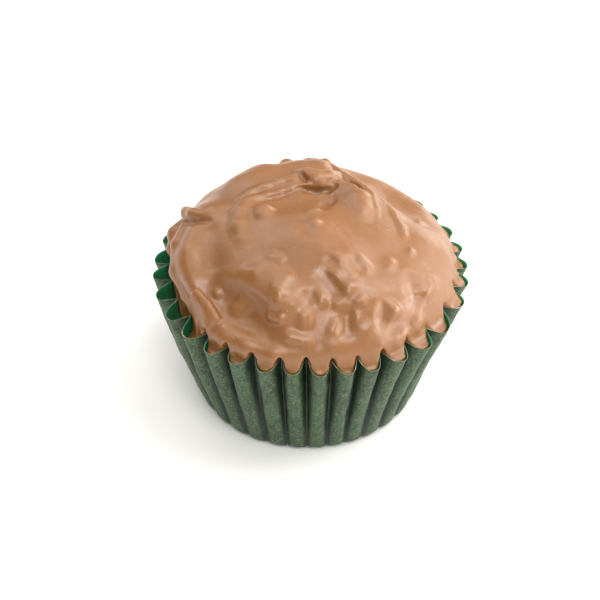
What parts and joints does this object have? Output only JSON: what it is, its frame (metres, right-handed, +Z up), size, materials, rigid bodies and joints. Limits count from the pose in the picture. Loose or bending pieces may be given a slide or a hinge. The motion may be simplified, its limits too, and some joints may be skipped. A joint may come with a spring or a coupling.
{
  "type": "chocolate coconut cup",
  "caption": "Domed, lumpy milk chocolate and coconut sweet set in a small green pleated paper case with a flat round base.",
  "frame": {"origin": "on the ground at the middle of the paper case's flat base", "axes": "+Z up through the chocolate's dome, -Y towards the viewer of the picture, +X to that viewer's right"},
  "size_m": [0.0499, 0.0496, 0.0362],
  "materials": {
    "case_paper": "thin dyed greaseproof paper, dull grey-green outside and deeper green inside, finely mottled, with pale cut edges",
    "milk_chocolate": "milk chocolate over shredded coconut, satin, smooth over the lumps with soft highlights and a few pale specks"
  },
  "bodies": {
    "root": {"paper_case": "case_paper", "chocolate": "milk_chocolate"}
  },
  "joints": []
}
